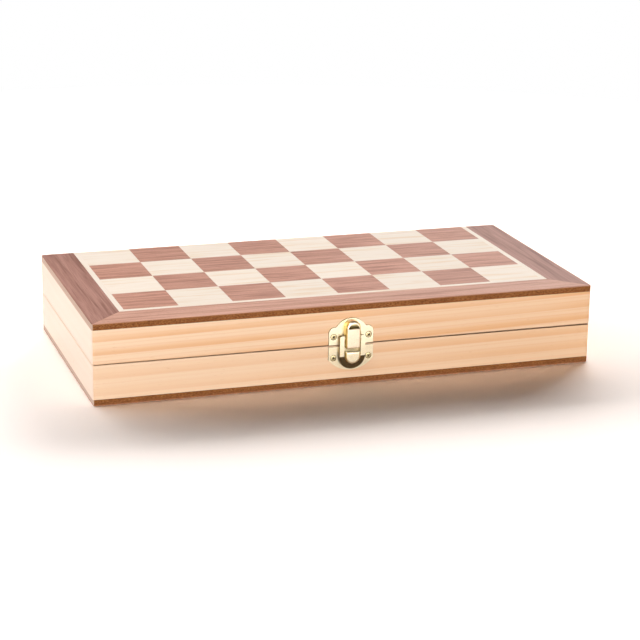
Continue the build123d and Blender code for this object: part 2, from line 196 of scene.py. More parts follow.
# Floor, which shows plain white away from the box and is clear from below
bm = bmesh.new()
bmesh.ops.create_grid(bm, x_segments=1, y_segments=1, size=floorSizes["half"])
bmesh.ops.translate(bm, vec=(0, 0, floorSizes["height"]), verts=bm.verts)
floorMaterial = bpy.data.materials.new("whiteFloor")
floorPiece = objectOf(bm, "StudioFloor", [floorMaterial])
floorMaterial.use_nodes = True
tree = floorMaterial.node_tree
tree.nodes.clear()
paper = addNode(tree, "BsdfDiffuse", {"Color": mixed(tree, shownRay(tree), floorSizes["colour"], floorSizes["shown"])})
away = addNode(tree, "VectorMath", {0: ownPlace(tree)}, operation="LENGTH").outputs["Value"]
white = ranged(tree, away, (floorSizes["near"], floorSizes["far"]), (0.0, 1.0))
above = mixedShader(tree, times(tree, white, shownRay(tree)), paper, addNode(tree, "Emission", {"Strength": 1.0}))
beneath = addNode(tree, "NewGeometry").outputs["Backfacing"]
both = mixedShader(tree, beneath, above, addNode(tree, "BsdfTransparent"))
addNode(tree, "OutputMaterial", {"Surface": both.outputs[0]})

# The floor is all that the floor's lamps light, and all that the box's lamps leave out
receivers = {"all": None, "floor": bpy.data.collections.new("FloorOnly"),
             "box": bpy.data.collections.new("AllButFloor")}
for lights, state in (("floor", "INCLUDE"), ("box", "EXCLUDE")):
    receivers[lights].objects.link(floorPiece)
    receivers[lights].collection_objects[0].light_linking.link_state = state
for name, values in lamps.items():
    lamp = bpy.data.lights.new(name + "Softbox", "AREA")
    lamp.shape = "RECTANGLE"
    lamp.size, lamp.size_y = values["size"]
    lamp.energy = values["power"]
    lamp.color = values["colour"]
    softbox = link(bpy.data.objects.new(name + "Softbox", lamp))
    toLamp = (Vector(values["place"]) - Vector(values["target"])).normalized()
    softbox.location = values["place"]
    softbox.rotation_mode = "QUATERNION"
    softbox.rotation_quaternion = toLamp.to_track_quat("Z", "Y")
    softbox.light_linking.receiver_collection = receivers[values["lights"]]
print("camera, lamps and floor ready")


# Materials
def startMaterial(name, **values):
    material = bpy.data.materials.new(name)
    material.use_nodes = True
    shader = material.node_tree.nodes["Principled BSDF"]
    for socket, value in values.items():
        shader.inputs[socket.replace("_", " ")].default_value = value
    return material, material.node_tree


# bump is the pattern that stands up, its strength, and its depth in metres
def finished(material, colour, rough=None, bump=None):
    tree = material.node_tree
    shader = tree.nodes["Principled BSDF"]
    tree.links.new(colour, shader.inputs["Base Color"])
    if rough is not None:
        tree.links.new(rough, shader.inputs["Roughness"])
    if bump:
        made = addNode(tree, "Bump", dict(zip(("Height", "Strength", "Distance"), bump)))
        tree.links.new(made.outputs[0], shader.inputs["Normal"])
    return material


def toneOf(tree):
    return addNode(tree, "Attribute", attribute_name="tone").outputs["Fac"]


toneJump = (0.37, 0.23, 0.31)  # metres, so that no two boards have the same grain


# Object coordinates squeezed along the grain; stretch and across are sizes in millimetres
def grainPoint(tree, along, stretch, across, shift=(0, 0, 0)):
    sizes = [across * mm] * 3
    sizes["XYZ".index(along)] = stretch * mm
    tone = toneOf(tree)
    jump = addNode(tree, "CombineXYZ", {axis: times(tree, tone, far) for axis, far in enumerate(toneJump)})
    moved = addNode(tree, "VectorMath", {0: ownPlace(tree), 1: jump.outputs[0]}, operation="ADD")
    return scaled(tree, moved.outputs[0], tuple(1 / size for size in sizes), Location=shift)


def noise(tree, point, scale=1.0, detail=3.0, roughness=0.55, distortion=0.0):
    return addNode(tree, "TexNoise", {"Vector": point, "Scale": scale, "Detail": detail, "Roughness": roughness,
                                      "Distortion": distortion}).outputs["Fac"]


# Each board or veneer a little lighter or darker, by its tone
def toned(tree, colour, amount):
    level = ranged(tree, toneOf(tree), (0, 1), (1 - amount, 1 + amount))
    grey = addNode(tree, "CombineColor", {0: level, 1: level, 2: level}).outputs[0]
    return mixed(tree, 1.0, colour, grey, "MULTIPLY")


# Colours, among them a paler one that is painted light on the brightly lit left rails; scale, distortion and detail of
# the rings and of the thin lines in them; lengths and widths of the grain's parts in millimetres; how the front rails
# deepen to the right, a painted shade; how near the seam the painted shadow there is full; and for each way of the
# grain, the axis out of the rail's face, the colour of the painted shadow in the seam, how far from the seam that
# reaches, and where the face lies
pineFinish = {"pale": srgb(251, 216, 182), "mid": srgb(245, 197, 150), "late": srgb(238, 180, 128),
              "fleck": srgb(205, 140, 80), "warm": srgb(240, 192, 146), "paintedLight": srgb(250, 231, 216), "coat": 0.12,
              "roughness": (0.34, 0.52), "bump": (0.25, 0.00008), "ringLength": 0.31416, "endStretch": 9,
              "year": (1.0, 2.2, 0.45), "thinLines": (3.3, 3.4, 0.4), "patches": (150, 8), "fibres": (60, 0.35),
              "canals": (5, 0.22, (3.1, 7.7, 1.9)), "rightDeeper": (0.85, 0.45), "rightWarmth": 0.40, "rightLate": 0.30,
              "fullShade": 0.0003,
              "seamShade": {"X": ("Y", srgb(96, 54, 22), 0.0006, -0.0717), "Y": ("X", srgb(206, 168, 118), 0.0012, -0.1442)}}
boxEnds = (-0.145, 0.145)
seamLevel = 0.023


def fromSeam(tree, axes):
    return sums(tree, "ABSOLUTE", sums(tree, "SUBTRACT", axes["Z"], seamLevel))


def ringWave(tree, point, along, kind):
    scale, distortion, detailScale = pineFinish[kind]
    return addNode(tree, "TexWave", {"Vector": point, "Scale": scale, "Distortion": distortion, "Detail": 2.0,
                                     "Detail Scale": detailScale, "Detail Roughness": 0.5}, wave_type="RINGS",
                   rings_direction=along, wave_profile="SAW").outputs["Fac"]


# heart is the middle of the tree in millimetres, ring the width of a year; the board's share of paler colour is painted
# light, and the strength of the seam's darkening at the two ends is a painted shadow
def pineMaterial(name, along, heart, ring, lateness, paintedLightShare, tilt=0.0, seamShadeEnds=None):
    material, tree = startMaterial(name, Coat_Weight=pineFinish["coat"], Coat_Roughness=0.25)
    pale, mid, late = (pineFinish[key] for key in ("pale", "mid", "late"))
    size = ring / pineFinish["ringLength"]
    wide = [1000 / size] * 3
    wide["XYZ".index(along)] /= pineFinish["endStretch"]
    place = ownPlace(tree)
    axes = axesOf(tree, place)
    log = scaled(tree, place, tuple(wide), Location=tuple(-value / size for value in heart),
                 Rotation=(0, radians(tilt), 0) if along == "X" else (radians(tilt), 0, 0))
    year = ramp(tree, ringWave(tree, log, along, "year"),
                [(0.0, pale), (0.30, pale), (0.62, mid), (0.86, late), (0.92, late), (1.0, pale)])
    thin = ramp(tree, ringWave(tree, log, along, "thinLines"), [(0.55, 0.0), (0.90, 0.42), (0.97, 0.0)])
    year = mixed(tree, thin, year, late)
    patches = noise(tree, grainPoint(tree, along, *pineFinish["patches"]), detail=1.0)
    strength = ranged(tree, patches, (0.35, 0.65), (0.45 * lateness, lateness))
    ground = pale
    if seamShadeEnds and along == "X":  # a front rail, whose grain and colour deepen to the right, a painted shade
        deeper = ranged(tree, axes["X"], boxEnds, (0.0, 1.0))
        least, more = pineFinish["rightDeeper"]
        strength = times(tree, strength, sums(tree, "MULTIPLY_ADD", deeper, more, least))
        ground = mixed(tree, times(tree, deeper, pineFinish["rightWarmth"]), pale, pineFinish["warm"])
        year = mixed(tree, times(tree, deeper, pineFinish["rightLate"]), year, late)
    # Painted light: the board is paled towards a near-white colour, for the brightly lit left side
    colour = mixed(tree, paintedLightShare, mixed(tree, strength, ground, year), pineFinish["paintedLight"])
    fibre = noise(tree, grainPoint(tree, along, *pineFinish["fibres"]), detail=4.0, roughness=0.6)
    colour = mixed(tree, ramp(tree, fibre, [(0.30, 0.30), (0.52, 0.0)]), colour, mixed(tree, 0.5, colour, late))
    canals = noise(tree, grainPoint(tree, along, *pineFinish["canals"]), detail=1.0)
    colour = mixed(tree, ramp(tree, canals, [(0.70, 0.0), (0.78, 0.45)]), colour, pineFinish["fleck"])
    # Painted shadow in the seam: the faces just by the seam are darkened, more towards the right end of the front rails
    if seamShadeEnds:
        out, fullShade, reach, face = pineFinish["seamShade"][along]
        edge = ranged(tree, fromSeam(tree, axes), (pineFinish["fullShade"], reach), (1.0, 0.0))
        seamShadow = times(tree, edge, ranged(tree, axes["X"], boxEnds, seamShadeEnds))
        colour = mixed(tree, times(tree, sums(tree, "LESS_THAN", axes[out], face), seamShadow), colour, fullShade)
    rough = ranged(tree, fibre, (0, 1), pineFinish["roughness"])
    return finished(material, colour, rough, (fibre, *pineFinish["bump"]))


fineLines = {"length": 0.6, "width": 0.16, "shift": (2.3, 4.1, 0.7)}  # as shares of the streaks
poreSizes = (2.2, 0.13, (5.2, 1.4, 8.8))  # millimetres


# Thin sliced wood: broad streaks, finer ones, and short pores, all along the grain
def veneerMaterial(name, along, finish):
    material, tree = startMaterial(name, Coat_Weight=finish["coat"], Coat_Roughness=0.3,
                                   Specular_IOR_Level=finish["gloss"])
    light, middle, dark, streak, length = (finish[key] for key in ("light", "middle", "dark", "streak", "streakLength"))
    streaks = noise(tree, grainPoint(tree, along, length, streak), roughness=0.6, distortion=0.35)
    colour = ramp(tree, streaks, [(0.34, dark), (0.47, middle), (0.60, light)])
    fine = noise(tree, grainPoint(tree, along, length * fineLines["length"], streak * fineLines["width"],
                                  fineLines["shift"]), roughness=0.65)
    colour = mixed(tree, ramp(tree, fine, [(0.36, finish["fine"]), (0.56, 0.0)]), colour, dark)
    pores = noise(tree, grainPoint(tree, along, *poreSizes), detail=1.0)
    pore = ramp(tree, pores, [(0.60, 0.0), (0.72, finish["pores"])])
    colour = toned(tree, mixed(tree, pore, colour, finish["pore"]), finish["spread"])
    rough = ranged(tree, fine, (0, 1), (finish["roughness"] - 0.07, finish["roughness"] + 0.08))
    return finished(material, colour, rough, (sums(tree, "SUBTRACT", fine, pore), 0.2, 0.00005))


walnutFinish = {"light": srgb(214, 159, 138), "middle": srgb(199, 144, 123), "dark": srgb(168, 113, 94),
                "pore": srgb(132, 88, 72), "pores": 0.5, "fine": 0.6, "spread": 0.05, "streak": 2.4,
                "streakLength": 38, "roughness": 0.60, "gloss": 0.10, "coat": 0.0}
mapleFinish = {"light": srgb(252, 239, 225), "middle": srgb(250, 236, 221), "dark": srgb(243, 220, 194),
               "pore": srgb(230, 198, 162), "pores": 0.15, "fine": 0.35, "spread": 0.025, "streak": 4.0,
               "streakLength": 50, "roughness": 0.60, "gloss": 0.10, "coat": 0.0}
borderFinish = dict(walnutFinish, light=srgb(223, 173, 152), middle=srgb(209, 157, 136), dark=srgb(178, 124, 102),
                    streak=3.2, streakLength=70, fine=0.5)
# The side borders are darker than the front one: painted shade for the walnut's sheen, which changes with the way of
# the grain
shadedSidesFinish = dict(borderFinish, light=srgb(186, 137, 122), middle=srgb(170, 121, 106), dark=srgb(141, 94, 80))
boxwoodFinish = dict(mapleFinish, light=srgb(232, 196, 142), middle=srgb(222, 182, 126), dark=srgb(198, 152, 96),
                     streak=1.6, streakLength=18, roughness=0.34, gloss=0.5, coat=0.4)
stainedFinish = dict(boxwoodFinish, light=srgb(66, 42, 32), middle=srgb(48, 30, 24), dark=srgb(32, 20, 17),
                     pore=srgb(20, 13, 12), spread=0.10)

walnutX = veneerMaterial("walnutSquares", "X", walnutFinish)
mapleX = veneerMaterial("mapleSquares", "X", mapleFinish)
mapleY = veneerMaterial("mapleLineSides", "Y", mapleFinish)
borderX = veneerMaterial("walnutBorderFront", "X", borderFinish)
borderY = veneerMaterial("walnutBorderSides", "Y", shadedSidesFinish)
boxwood = veneerMaterial("boxwoodMen", "Y", boxwoodFinish)
stainedWood = veneerMaterial("stainedMen", "Y", stainedFinish)

# Fibreboard: the left edge is paler than the front one, a painted highlight of the strong light on the left side, and
# the veneer's own edge, outermost, a little paler too; each shade with how far in metres it lies from the middle, and
# its share
boardFinish = {"flakes": [(0.30, srgb(98, 56, 28)), (0.46, srgb(138, 84, 45)), (0.60, srgb(164, 106, 60)),
                          (0.72, srgb(190, 134, 84))],
               "cloud": srgb(112, 64, 32), "veneerEdge": (0.0224, 0.5, srgb(190, 139, 102)),
               "litLeftEdge": (-0.1444, 0.85, srgb(220, 190, 172))}


def fibreboardMaterial():
    material, tree = startMaterial("fibreboard", Roughness=0.8, Specular_IOR_Level=0.15)
    place = ownPlace(tree)
    axes = axesOf(tree, place)
    speck = noise(tree, scaled(tree, place, (900, 900, 2200)), roughness=0.7)
    colour = ramp(tree, speck, boardFinish["flakes"])
    broad = noise(tree, scaled(tree, place, (60, 60, 300)), detail=2.0)
    colour = mixed(tree, ramp(tree, broad, [(0.35, 0.30), (0.60, 0.0)]), colour, boardFinish["cloud"])
    far, share, shade = boardFinish["veneerEdge"]
    colour = mixed(tree, times(tree, sums(tree, "GREATER_THAN", fromSeam(tree, axes), far), share), colour, shade)
    # Painted highlight: the left edge paler, for the strong light on that side
    far, share, shade = boardFinish["litLeftEdge"]
    colour = mixed(tree, times(tree, sums(tree, "LESS_THAN", axes["X"], far), share), colour, shade)
    return finished(material, colour, bump=(speck, 0.45, 0.0001))


# The share of darkening below the loop's bend is a painted dark reflection of the shade under the box; bend is its
# height
def brassMaterial(name, colour, roughness, paintedDarkReflection=0.0, bend=0.0):
    material, tree = startMaterial(name, Metallic=1.0)
    place = ownPlace(tree)
    cloud = noise(tree, scaled(tree, place, (260, 260, 260)))
    shade = ramp(tree, cloud, [(0.30, tuple(0.90 * part for part in colour)), (0.65, colour)])
    if paintedDarkReflection:
        below = ranged(tree, axesOf(tree, place)["Z"], (bend, bend - 0.0004), (0.0, paintedDarkReflection))
        # Painted reflection: the brass is darkened below the bend
        shade = mixed(tree, below, shade, srgb(70, 56, 18))
    rubbed = noise(tree, scaled(tree, place, (900, 900, 4500)), detail=4.0, roughness=0.7)
    rough = ranged(tree, rubbed, (0.3, 0.7), (roughness * 0.8, roughness * 1.25))
    return finished(material, shade, rough, (rubbed, 0.08, 0.00002))


def steelMaterial():
    material, tree = startMaterial("zincSteel", Metallic=1.0)
    place = ownPlace(tree)
    spangle = addNode(tree, "TexVoronoi", {"Vector": place, "Scale": 180.0}).outputs["Color"]
    rough = ranged(tree, noise(tree, place, scale=300), (0, 1), (0.3, 0.5))
    return finished(material, mixed(tree, 0.12, srgb(190, 193, 196), spangle), rough)


def foamMaterial():
    material, tree = startMaterial("blackFoam", Roughness=0.93)
    place = ownPlace(tree)
    cells = addNode(tree, "TexVoronoi", {"Vector": place, "Scale": 2600.0}, feature="F1").outputs["Distance"]
    colour = ramp(tree, cells, [(0.15, srgb(36, 36, 38)), (0.55, srgb(58, 58, 61)), (0.85, srgb(76, 76, 80))])
    cloud = ramp(tree, noise(tree, place, scale=120), [(0.35, 0.25), (0.65, 0.0)])
    return finished(material, mixed(tree, cloud, colour, srgb(34, 34, 36)), bump=(cells, 0.6, 0.00015))


def magnetMaterial():
    material, tree = startMaterial("ferriteDiscs", Roughness=0.55)
    grit = noise(tree, ownPlace(tree), scale=2500, roughness=0.7)
    colour = ramp(tree, grit, [(0.30, srgb(38, 38, 41)), (0.60, srgb(62, 62, 66)), (0.78, srgb(96, 96, 100))])
    return finished(material, colour, bump=(grit, 0.3, 0.00006))


fibreboard = fibreboardMaterial()
brass = brassMaterial("paleBrass", (0.93, 0.83, 0.60), 0.30)
leverBrass = brassMaterial("leverBrass", (0.90, 0.77, 0.58), 0.30)
# The loop's lower part is painted dark, a painted reflection of the shade under the box
loopBrass = brassMaterial("loopBrass", (0.93, 0.83, 0.60), 0.30, paintedDarkReflection=0.88, bend=0.0173)
screwBrass = brassMaterial("screwBrass", (0.64, 0.54, 0.31), 0.34)
# The flanks' deeper yellow brass is a painted reflection
flankReflectionBrass = brassMaterial("flankReflectionBrass", (0.78, 0.60, 0.22), 0.30)
# Darker brass for cut edges and screw holes: painted shade
shadedEdgeBrass = brassMaterial("shadedEdgeBrass", (0.20, 0.15, 0.06), 0.50)
# Near-black brass for the screws' cross slots: painted shade in the recess
slotShadeBrass = brassMaterial("slotShadeBrass", (0.08, 0.06, 0.03), 0.55)
# Darker brass for the lever's scoop and insides: painted shade
shadedInnerBrass = brassMaterial("shadedInnerBrass", (0.42, 0.33, 0.17), 0.45)
steel = steelMaterial()
foam = foamMaterial()
magnetStone = magnetMaterial()
print("materials ready")


# Shapes
def isUp(edge):
    first, second = (vert.co for vert in edge.verts)
    return abs(first.z - second.z) > tiny and (first - second).xy.length < tiny


def lengthAlong(edge, axis):
    return abs(edge.verts[0].co[axis] - edge.verts[1].co[axis])


def levelEdges(bm, level):
    return [edge for edge in bm.edges if all(abs(vert.co.z - level) < tiny for vert in edge.verts)]


def rounded(bm, edges, size, segments=3, affect="EDGES"):
    return bmesh.ops.bevel(bm, geom=edges, offset=size, offset_type="OFFSET", segments=segments, profile=0.5,
                           affect=affect, clamp_overlap=True, material=-1)


def moved(bm, *vec):
    bmesh.ops.translate(bm, vec=vec, verts=bm.verts)
    return bm


def spun(bm, degrees, axis, centre=(0, 0, 0)):
    bmesh.ops.rotate(bm, cent=centre, matrix=Matrix.Rotation(radians(degrees), 3, axis), verts=bm.verts)
    return bm


def block(low, high):
    bm = bmesh.new()
    bmesh.ops.create_cube(bm, size=1)
    bmesh.ops.scale(bm, vec=[b - a for a, b in zip(low, high)], verts=bm.verts)
    return moved(bm, *[(a + b) / 2 for a, b in zip(low, high)])


# A round bar along X
def bar(place, radius, length, sides=28):
    bm = bmesh.new()
    bmesh.ops.create_cone(bm, cap_ends=True, segments=sides, radius1=radius, radius2=radius, depth=length)
    return moved(spun(bm, 90, "Y"), *place)


# A flat outline drawn out into a solid
def prism(points, vec):
    bm = bmesh.new()
    face = bm.faces.new([bm.verts.new(point) for point in points])
    pushed = bmesh.ops.extrude_face_region(bm, geom=[face])["geom"]
    bmesh.ops.translate(bm, vec=vec, verts=[part for part in pushed if isinstance(part, bmesh.types.BMVert)])
    bmesh.ops.recalc_face_normals(bm, faces=bm.faces)
    return bm


# Takes off what is past the plane and closes the cut
def cutAway(bm, point, outward):
    cut = bmesh.ops.bisect_plane(bm, geom=bm.verts[:] + bm.edges[:] + bm.faces[:], dist=1e-5, plane_co=point,
                                 plane_no=outward, clear_outer=True)
    edges = [part for part in cut["geom_cut"] if isinstance(part, bmesh.types.BMEdge)]
    bmesh.ops.holes_fill(bm, edges=edges, sides=0)


# Adds a shape to another, with its place among the materials and its tone
def joined(target, part, index=None, tone=None):
    if index is not None:
        for face in part.faces:
            face.material_index = index
    if tone is not None:
        layer = part.faces.layers.float.get("tone") or part.faces.layers.float.new("tone")
        for face in part.faces:
            face[layer] = tone
        if not target.faces.layers.float.get("tone"):
            target.faces.layers.float.new("tone")
    mesh = bpy.data.meshes.new("part")
    part.to_mesh(mesh)
    part.free()
    target.from_mesh(mesh)
    bpy.data.meshes.remove(mesh)


# With as many places for materials as a piece has at most
def loosePart(bm):
    return objectOf(bm, "part", [None] * 3)


# The part's shape after a modifier; the part and its helpers are used up
def worked(part, kind, helpers=(), **settings):
    modifier = part.modifiers.new(kind.title(), kind)
    for name, value in settings.items():
        setattr(modifier, name, value)
    mesh = bpy.data.meshes.new_from_object(part.evaluated_get(bpy.context.evaluated_depsgraph_get()))
    result = bmesh.new()
    result.from_mesh(mesh)
    bpy.data.meshes.remove(mesh)
    for old in (part, *helpers):
        mesh = old.data
        bpy.data.objects.remove(old)
        bpy.data.meshes.remove(mesh)
    return result


# The shape with the cutter's shape taken out; index is the material of the cut faces
def carved(bm, cutter, operation="DIFFERENCE", index=0):
    for face in cutter.faces:
        face.material_index = index
    part, blade = loosePart(bm), loosePart(cutter)
    return worked(part, "BOOLEAN", [blade], operation=operation, object=blade, solver="EXACT")


def mirrored(bm, matrix):
    bmesh.ops.transform(bm, matrix=matrix, verts=bm.verts)
    bmesh.ops.reverse_faces(bm, faces=bm.faces)
    return bm


def joinedCopy(target, whole, matrix, tone=None):
    copied = whole.copy()
    bmesh.ops.transform(copied, matrix=matrix, verts=copied.verts)
    joined(target, copied, tone=tone)


# The shape becomes a piece in metres, which rides on its body and stands for its CAD node
def makePiece(name, bm, materials, body, node, sharp=32, bevel=None):
    bmesh.ops.scale(bm, vec=(mm, mm, mm), verts=bm.verts)
    piece = objectOf(bm, name, materials)
    piece.data.shade_smooth()
    piece.data.set_sharp_from_angle(angle=radians(sharp))
    if bevel:
        ease = piece.modifiers.new("EasedEdges", "BEVEL")
        ease.width = bevel * mm
        ease.segments = 3
        ease.limit_method = "ANGLE"
        ease.angle_limit = radians(28)
        ease.use_clamp_overlap = True
    even = piece.modifiers.new("EvenShading", "WEIGHTED_NORMAL")
    even.keep_sharp = True
    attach(piece, body)
    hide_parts(node)


box = {"width": 290.0, "depth": 145.0, "half": 23.0, "seamGap": 0.3, "rail": 8.0, "veneer": 0.6, "panel": 3.0,
       "cornerRound": 1.4, "rimRound": 0.5, "innerEdge": 0.3, "faceRound": 0.35, "panelRound": 0.06, "mitreGap": 0.03,
       "steel": 0.4, "steelMargin": 2.0}
board = {"square": 30.65, "files": 8, "ranks": 4, "joint": 0.05, "lightLine": 3.2, "border": 19.2}
right, back = box["width"] / 2, box["depth"] / 2
innerX, innerY = right - box["rail"], back - box["rail"]
seam = box["half"]
rim = box["half"] - box["seamGap"] / 2
railFoot = box["veneer"] + box["panel"]


def turnedOver(bm):
    return mirrored(bm, Matrix.Translation((0, 0, 2 * seam)) @ Matrix.Scale(-1, 4, (0, 0, 1)))


# A slice of the whole box, with its corners rounded, and its upper and lower edges if wanted
def boxBlock(low, high, highRound=0.0, lowRound=0.0):
    bm = block((-right, -back, low), (right, back, high))
    rounded(bm, [edge for edge in bm.edges if isUp(edge)], box["cornerRound"], 5)
    if highRound:
        rounded(bm, levelEdges(bm, high), highRound, 4)
    if lowRound:
        rounded(bm, levelEdges(bm, low), lowRound, 3)
    return bm


# The same piece for the base and, turned over, for the lid
def halves(name, node, make, materials, sharp=32):
    baseShape = make()
    lidShape = turnedOver(baseShape.copy())
    for half, shape in (("base", baseShape), ("lid", lidShape)):
        makePiece(half + name, shape, materials, half, half + "_" + node, sharp=sharp)


# Rails: grain, heart of the tree, width of a year, how dark its late wood is, how much painted light pales the board,
# how far the bands tilt along it, and how strong the painted shadow in the seam is at the left and at the right
railWood = {
    "base_front_rail": ("X", (0, -66, 79), 9.0, 0.62, 0.0, 8.0, (0.25, 0.85)),
    "base_back_rail": ("X", (0, 90, -50), 6.0, 0.8, 0.0),
    "base_left_rail": ("Y", (-120, 0, -60), 7.0, 0.40, 0.75, 0.0, (0.4, 0.4)),
    "base_right_rail": ("Y", (130, 0, -44), 6.5, 0.8, 0.0),
    "lid_front_rail": ("X", (0, -66, 88), 7.25, 1.0, 0.0, 10.0, (0.25, 0.85)),
    "lid_back_rail": ("X", (0, 60, 110), 7.0, 0.7, 0.0),
    "lid_left_rail": ("Y", (-140, 0, 100), 8.0, 0.40, 0.75, 0.0, (0.4, 0.4)),
    "lid_right_rail": ("Y", (160, 0, 96), 5.5, 0.9, 0.0),
}


# One side's length of the frame, mitred at both ends
def railShape(side):
    bm = boxBlock(railFoot, rim, box["rimRound"])
    long = side in ("front", "back")
    way = -1 if side in ("front", "left") else 1
    half, outer, inner = (right, back, innerY) if long else (back, right, innerX)

    def flat(along, across):
        return (along, across, 0) if long else (across, along, 0)

    cutAway(bm, flat(0, way * inner), flat(0, -way))
    for end in (-1, 1):
        cutAway(bm, flat(end * (half - box["mitreGap"] / 2), way * outer), flat(end, -way))
    mouth = [edge for edge in levelEdges(bm, rim)
             if all(abs(abs(vert.co[int(long)]) - inner) < tiny for vert in edge.verts)]
    rounded(bm, mouth, box["innerEdge"], 2)
    return bm


hinge = {"x": 92.0, "length": 24.0, "y": back + 0.2, "knuckle": 1.5, "clearance": 0.2, "leaf": 0.9, "leafWidth": 7.2,
         "screwX": 7.0, "screwY": back - 4.4}


# What the leaves and the knuckles take out of a back rail
def hingeRooms():
    leaves, knuckles = bmesh.new(), bmesh.new()
    for side in (-1, 1):
        x, half = side * hinge["x"], hinge["length"] / 2
        joined(leaves, block((x - half, back - hinge["leafWidth"], rim - hinge["leaf"]), (x + half, back + 1, rim + 1)))
        joined(knuckles, bar((x, hinge["y"], seam), hinge["knuckle"] + hinge["clearance"], hinge["length"], 40))
    return leaves, knuckles


for half in ("base", "lid"):
    for side in ("front", "back", "left", "right"):
        node = f"{half}_{side}_rail"
        shape = railShape(side)
        if side == "back":
            for room in hingeRooms():
                shape = carved(shape, room)
        if half == "lid":
            turnedOver(shape)
        wood = pineMaterial("pine" + half.title() + side.title(), *railWood[node])
        makePiece(half + side.title() + "Rail", shape, [wood], half, node)
print("rails made")


# Panel, with the bed of the steel sheet sunk in it
def panelShape():
    bm = boxBlock(box["veneer"], railFoot, box["panelRound"], box["panelRound"])
    margin = box["steelMargin"]
    wide, deep = board["files"] * board["square"] / 2 - margin, board["ranks"] * board["square"] - margin
    bed = block((-wide, back - deep, box["veneer"] - 1), (wide, back - margin, box["veneer"] + box["steel"]))
    return carved(bm, bed)


halves("Panel", "panel", panelShape, [fibreboard])


# Border and light line: slices of the box's face, cut to their lines and mitred
def edgingShape(inside, width):
    joint = board["joint"] / 2
    sides = board["files"] * board["square"] / 2 + inside
    front = back - board["ranks"] * board["square"] - inside
    strips = bmesh.new()
    outermost = width == board["border"]
    outer = width + 1 if outermost else width
    for place, way in (("left", -1), ("front", 0), ("right", 1)):
        bm = boxBlock(0, box["veneer"], 0, box["faceRound"])
        if place == "front":
            cutAway(bm, (0, front - joint, 0), (0, 1, 0))
            cutAway(bm, (0, front - outer, 0), (0, -1, 0))
            for end in (-1, 1):
                cutAway(bm, (end * (sides - joint), front, 0), (end, 1, 0))
        else:
            cutAway(bm, (way * (sides + joint), 0, 0), (-way, 0, 0))
            cutAway(bm, (way * (sides + outer), 0, 0), (way, 0, 0))
            cutAway(bm, (way * (sides + joint), front, 0), (-way, -1, 0))
        joined(strips, bm, 0 if place == "front" else 1, tone=chance.uniform(0.2, 0.8))
    if outermost:
        strips.normal_update()
        for face in strips.faces:
            if abs(face.normal.z) < 0.5:
                face.material_index = 2
    return strips


halves("LightLine", "light_line", lambda: edgingShape(0, board["lightLine"]), [mapleX, mapleY])
halves("Border", "border_veneer", lambda: edgingShape(board["lightLine"], board["border"]),
       [borderX, borderY, fibreboard])


# Squares, each a leaf of veneer with its own tone; those at the back have the rounded edge of the box
def squaresShape(colour):
    leaves = bmesh.new()
    for column in range(board["files"]):
        for row in range(board["ranks"]):
            if (column + row) % 2 != colour:
                continue
            x = (column - (board["files"] - 1) / 2) * board["square"]
            y = back - (board["ranks"] - row - 0.5) * board["square"]
            reach = (board["square"] - board["joint"]) / 2
            atBack = row == board["ranks"] - 1
            leaf = block((x - reach, y - reach, 0), (x + reach, back if atBack else y + reach, box["veneer"]))
            if atBack:
                edge = [e for e in levelEdges(leaf, 0) if all(abs(v.co.y - back) < tiny for v in e.verts)]
                rounded(leaf, edge, box["faceRound"], 3)
            joined(leaves, leaf, tone=chance.random())
    return leaves


for half, dark in (("base", 1), ("lid", 0)):
    for kind, colour, veneer, slotName in (("Dark", dark, walnutX, "walnut_veneer"),
                                           ("Light", 1 - dark, mapleX, "maple_veneer")):
        shape = squaresShape(colour)
        if half == "lid":
            turnedOver(shape)
        makePiece(half + kind + "Squares", shape, [veneer], half, f"{half}_{kind.lower()}_squares")
for half in ("base", "lid"):
    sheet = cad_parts[half + "_steel_sheet"].data
    sheet.materials.clear()
    sheet.materials.append(steel)
print("boards and squares made")


# Brass: flat stamped pieces are taken from the frame and their edges eased. The latch is drawn flat on the front:
# x along the box, out from it, and up from the seam.
latch = {"sheet": 0.8, "screwX": 10.2, "plateScrew": 5.0, "catchScrew": -7.1, "sink": 2.0,
         "catchTop": 1.4, "catchRaised": 0.4, "slotRound": 0.6, "past": (9, 17),
         "pivot": (3.2, 0.6), "pinRoom": 0.85, "slot": ((2.55, 4.0), (3.85, 6.5)),
         "half": 4.4, "corner": 1.3, "low": -1.6, "archUp": 10.3, "front": 5.4,
         "cap": ((1.0, 0.0), (3.9, 0.06), (4.55, 0.20), (5.0, 0.46), (5.28, 0.80), (5.4, 1.20)),
         "inside": 0.8, "scoop": (0.1, 10.1, 3.15, 2.85),
         "scoopFloor": ((8, 10.1), (5.4, 10.1), (4.4, 10.25), (3.5, 10.7), (3.0, 11.5), (2.85, 12.6), (2.85, 17),
                        (8, 17)),
         "hollow": ((-1, -4), (4.6, -4), (4.6, 9.2), (3.8, 9.4), (2.9, 10.0), (2.35, 11.1), (2.15, 12.4), (2.15, 17),
                    (-1, 17))}
hook = {"half": 4.45, "up": -5.7, "top": -2.7, "corner": 0.9,
        "rings": ((0.6, 0.28), (3.45, 0.28), (3.62, 0.04), (3.9, 0.0), (4.25, 0.10), (4.62, 0.36), (4.88, 0.76),
                  (5.0, 1.25))}


def onFront(bm):
    return mirrored(bm, Matrix(((1, 0, 0, 0), (0, -1, 0, -back), (0, 0, 1, seam), (0, 0, 0, 1))))


def arc(middle, radius, first, last, steps):
    angles = [radians(first + (last - first) * step / steps) for step in range(steps + 1)]
    return [(middle[0] + radius * cos(angle), middle[1] + radius * sin(angle)) for angle in angles]


# Side view, as points out and up, drawn out to both sides
def profileShape(points, half):
    return prism([(-half, out, up) for out, up in points], (2 * half, 0, 0))


